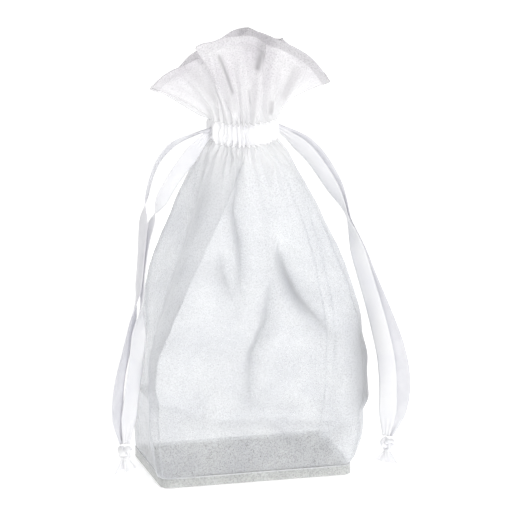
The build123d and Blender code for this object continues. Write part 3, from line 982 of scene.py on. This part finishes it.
def strand_line(name):
    """The ribbon's centreline as a smooth NURBS line through its route, in millimetres."""
    s = STRANDS[name]
    way = np.array(s["heading"], float) / np.hypot(*s["heading"])
    curve = bpy.data.curves.new(name + "_route", "CURVE")
    curve.dimensions = "3D"
    curve.resolution_u = 24
    spline = curve.splines.new("NURBS")
    spline.points.add(len(s["route"]) - 1)
    for point, (out, height) in zip(spline.points, s["route"]):
        x = s["side"] * SLIT_OUT * MM + way[0] * out * MM
        y = (way[1] * out + s["shift"] * (0 if out == 0 else 1)) * MM
        point.co = (x, y, height * MM, 1)
    spline.order_u = 3
    spline.use_endpoint_u = True
    guide = bpy.data.objects.new(name + "_route", curve)
    bpy.context.scene.collection.objects.link(guide)
    bpy.context.view_layer.update()
    mesh = bpy.data.meshes.new_from_object(guide)
    line = np.array([v.co[:] for v in mesh.vertices]) / MM
    bpy.data.objects.remove(guide)
    bpy.data.meshes.remove(mesh)
    return evenly(line, 170), way


class POUCH_OT_ribbons(bpy.types.Operator):
    """Hang the four satin drawstring strands, turning over where they kink"""

    bl_idname = "pouch.ribbons"
    bl_label = "Drawstring strands"

    def execute(self, context):
        ribbon = context.scene.pouch_ribbon
        half, thick = ribbon.width / MM / 2, ribbon.thickness
        for name, s in STRANDS.items():
            line, way = strand_line(name)
            ahead = np.gradient(line, axis=0)
            ahead /= np.linalg.norm(ahead, axis=1, keepdims=True)
            normal = np.array([way[1], -way[0], 0.0])
            if normal[1] > 0:
                normal = -normal
            outward = np.cross(normal, ahead)
            flip = np.sign((outward @ np.array([way[0], way[1], 0.35])).mean())
            outward = outward * flip
            heights, angles = zip(*s["turns"][::-1])
            turn = np.radians(np.interp(line[:, 2], heights, angles))
            kernel = np.ones(7) / 7
            turn = np.convolve(np.pad(turn, 3, mode="edge"), kernel, mode="valid")[:, None]
            across = outward * np.cos(turn) + normal[None] * np.sin(turn)
            face = np.cross(ahead, across)
            run = np.concatenate([[0], np.cumsum(np.linalg.norm(np.diff(line, axis=0), axis=1))])
            wide = half * np.interp(run, [0, 6, 18, run[-1] - 14, run[-1]], [0.4, 0.5, 1.0, 1.0, 0.42])
            spread = np.linspace(-1, 1, 13)
            gather = np.interp(run, [0, 16, run[-1] - 12, run[-1]], [1.0, 0.0, 0.0, 1.0])
            cup = 0.5 * (1 - spread**2)[None] * np.ones_like(run)[:, None]
            cup += 0.8 * gather[:, None] * np.cos(spread * 9)[None]
            cup += 0.25 * np.sin(run / 17.0 + spread[None].T * 1.3).T
            places = line[:, None] + across[:, None] * (spread[None, :, None] * wide[:, None, None])
            places = places + face[:, None] * cup[..., None]
            hand, strand_side = name.split("_")
            o = thicken(lay_cloth(f"{name}_ribbon", places, (ribbon.width, run[-1] * MM)), thick)
            # Back strands wear the greyer satin, painted shade.
            dress(o, ribbon_satin(strand_side == "back"))
            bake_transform(o)
            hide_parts(f"{name}_strand")
            s["made"] = (o, line)
        return {"FINISHED"}


class POUCH_OT_knots(bpy.types.Operator):
    """Tie each pair of strands in a small overhand knot with two cut tails"""

    bl_idname = "pouch.knots"
    bl_label = "Knots and tails"

    def execute(self, context):
        for hand, k in KNOTS.items():
            way = np.array([*k["heading"], 0.0]) / np.hypot(*k["heading"])
            normal = np.array([way[1], -way[0], 0.0])
            centre = np.array([k["side"] * SLIT_OUT, 0, 0]) + way * k["out"] + np.array([0, 0, k["height"]])
            t = np.linspace(0, 2 * math.pi, 150, endpoint=False)
            flat = np.stack([np.sin(t) + 2 * np.sin(2 * t), np.cos(t) - 2 * np.cos(2 * t),
                             -np.sin(3 * t)], axis=1)
            flat *= np.array([KNOT_WIDE - 3.0, KNOT_TALL - 3.0, KNOT_DEEP - 2.4]) / np.array([5.6, 5.6, 2.0])
            line = centre + flat[:, :1] * way + flat[:, 1:2] * np.array([0, 0, 1.0]) + flat[:, 2:] * normal
            wide = 3.4 + 0.4 * np.sin(3 * t)
            knot = swept(f"{hand}_overhand_knot", line, wide, 2.1, closed=True, sides=14)
            dress(knot, ribbon_satin())
            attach(knot, f"{hand}_knot")
            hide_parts(f"{hand}_knot")
            tails = []
            for n, (lean, front) in enumerate(((-0.35, -0.9), (0.3, 0.9))):
                down = np.linspace(0, 1, 14)[:, None]
                spread = np.linspace(-1, 1, 13)[None]
                long = 7.4 + 1.2 * spread
                wide = 1.3 + 2.5 * down
                x = lean * 8 * down + spread * wide
                y = front + 0.9 * np.cos(spread * 4.2) * (1 - 0.4 * down)
                z = -KNOT_TALL / 2 + 1.4 - long * down
                places = (centre + x[..., None] * way + y[..., None] * normal
                          + z[..., None] * np.array([0, 0, 1.0]))
                places = np.maximum(places, np.array([-1e9, -1e9, 0.8]))
                tails.append(thicken(lay_cloth(f"{hand}_tail_{n}", places[::-1], (0.009, 0.008)), 0.00035))
            for o in tails:
                select_only(o)
                bpy.ops.object.modifier_apply(modifier="thickness")
            pair = dress(joined(tails, f"{hand}_cut_tails"), ribbon_satin())
            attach(pair, f"{hand}_knot")
            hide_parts(f"{hand}_tails")
            for side in ("front", "back"):
                o, strand = STRANDS[f"{hand}_{side}"]["made"]
        return {"FINISHED"}


class POUCH_OT_frame_finish(bpy.types.Operator):
    """Give the insert board and the ribbon inside the casing their finishes"""

    bl_idname = "pouch.frame_finish"
    bl_label = "Board and inner ribbon"

    def execute(self, context):
        board = fibre("insert_board", (0.23, 0.222, 0.19), (0.15, 0.144, 0.122), 260.0, 0.75)
        for name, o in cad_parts.items():
            if name == "base_board":
                dress(o, board)
            elif name.startswith(("left_ribbon", "right_ribbon")) and name.endswith(("_run", "_runs")):
                dress(o, fibre("inner_ribbon", (0.9, 0.9, 0.93), (0.82, 0.82, 0.87), 900.0, 0.35))
        return {"FINISHED"}


class POUCH_OT_stage(bpy.types.Operator):
    """Set the pale floor, the soft studio lights and the camera"""

    bl_idname = "pouch.stage"
    bl_label = "Stage, lights and camera"

    def execute(self, context):
        stage = context.scene.pouch_stage
        bpy.ops.object.select_all(action="DESELECT")
        bpy.ops.mesh.primitive_plane_add(size=30, location=(0, 0, -0.0006))
        floor = context.active_object
        floor.name = "studio_floor"
        paper = fibre("studio_paper", (0.95, 0.95, 0.95), (0.94, 0.94, 0.94), 3.0, 0.9)
        glow = paper.node_tree.nodes["Principled BSDF"].inputs
        glow["Emission Color"].default_value, glow["Emission Strength"].default_value = (1, 1, 1, 1), 0.42
        dress(floor, paper)
        world = bpy.data.worlds.new("studio")
        context.scene.world = world
        world.use_nodes = True
        sky = world.node_tree.nodes["Background"]
        sky.inputs[0].default_value = (1, 1, 1, 1)
        sky.inputs[1].default_value = stage.sky
        lights = [
            ("key_light", (0.25, -1.7, 1.15), stage.key_power, 0.5),
            ("top_light", (0.1, 0.35, 1.9), stage.key_power * 1.15, 1.6),
        ]
        for name, place, power, size in lights:
            lamp = bpy.data.lights.new(name, "AREA")
            lamp.energy, lamp.size = power, size
            o = bpy.data.objects.new(name, lamp)
            context.scene.collection.objects.link(o)
            o.location = place
            o.rotation_euler = (Vector((0, 0, 0.11)) - Vector(place)).to_track_quat("-Z", "Y").to_euler()
        lens = bpy.data.cameras.new("camera")
        lens.sensor_width, lens.lens = 36, 762.4
        camera = bpy.data.objects.new("camera", lens)
        context.scene.collection.objects.link(camera)
        right, up = Vector((0.9686, -0.2487, 0)), Vector((0.071, 0.2767, 0.958))
        back = Vector((-0.2383, -0.9282, 0.2857))
        aim = right * 0.00694 + up * 0.1158
        camera.location = aim + back * 6.0
        camera.rotation_euler = back.to_track_quat("Z", "Y").to_euler()
        context.scene.camera = camera
        context.scene.view_settings.view_transform = "Standard"
        context.scene.cycles.transparent_max_bounces = 40
        context.scene.cycles.max_bounces = 14
        context.scene.cycles.diffuse_bounces = 10
        return {"FINISHED"}


class POUCH_PT_panel(bpy.types.Panel):
    """Buttons that build the pouch piece by piece"""

    bl_idname = "POUCH_PT_panel"
    bl_label = "Organza pouch"
    bl_space_type = "VIEW_3D"
    bl_region_type = "UI"
    bl_category = "Pouch"

    def draw(self, context):
        scene = context.scene
        for group, names in (
            (scene.pouch_cloth, ("pleat_depth", "thickness", "cover")),
            (scene.pouch_ribbon, ("width", "thickness")),
            (scene.pouch_stage, ("key_power", "sky")),
        ):
            for name in names:
                self.layout.prop(group, name)
        for operator in OPERATORS:
            self.layout.operator(operator.bl_idname)


OPERATORS = (
    POUCH_OT_walls,
    POUCH_OT_corner_seams,
    POUCH_OT_base,
    POUCH_OT_casing,
    POUCH_OT_stitches,
    POUCH_OT_heading,
    POUCH_OT_ribbons,
    POUCH_OT_knots,
    POUCH_OT_frame_finish,
    POUCH_OT_stage,
)
CLASSES = (PouchClothSettings, PouchRibbonSettings, PouchStageSettings, *OPERATORS, POUCH_PT_panel)


def register():
    for c in CLASSES:
        bpy.utils.register_class(c)
    bpy.types.Scene.pouch_cloth = bpy.props.PointerProperty(type=PouchClothSettings)
    bpy.types.Scene.pouch_ribbon = bpy.props.PointerProperty(type=PouchRibbonSettings)
    bpy.types.Scene.pouch_stage = bpy.props.PointerProperty(type=PouchStageSettings)


def unregister():
    del bpy.types.Scene.pouch_stage
    del bpy.types.Scene.pouch_ribbon
    del bpy.types.Scene.pouch_cloth
    for c in reversed(CLASSES):
        bpy.utils.unregister_class(c)


def main():
    register()
    bpy.ops.pouch.walls()
    bpy.ops.pouch.corner_seams()
    bpy.ops.pouch.base()
    bpy.ops.pouch.casing()
    bpy.ops.pouch.stitches()
    bpy.ops.pouch.heading()
    bpy.ops.pouch.ribbons()
    bpy.ops.pouch.knots()
    bpy.ops.pouch.frame_finish()
    bpy.ops.pouch.stage()


if __name__ == "__main__":
    main()
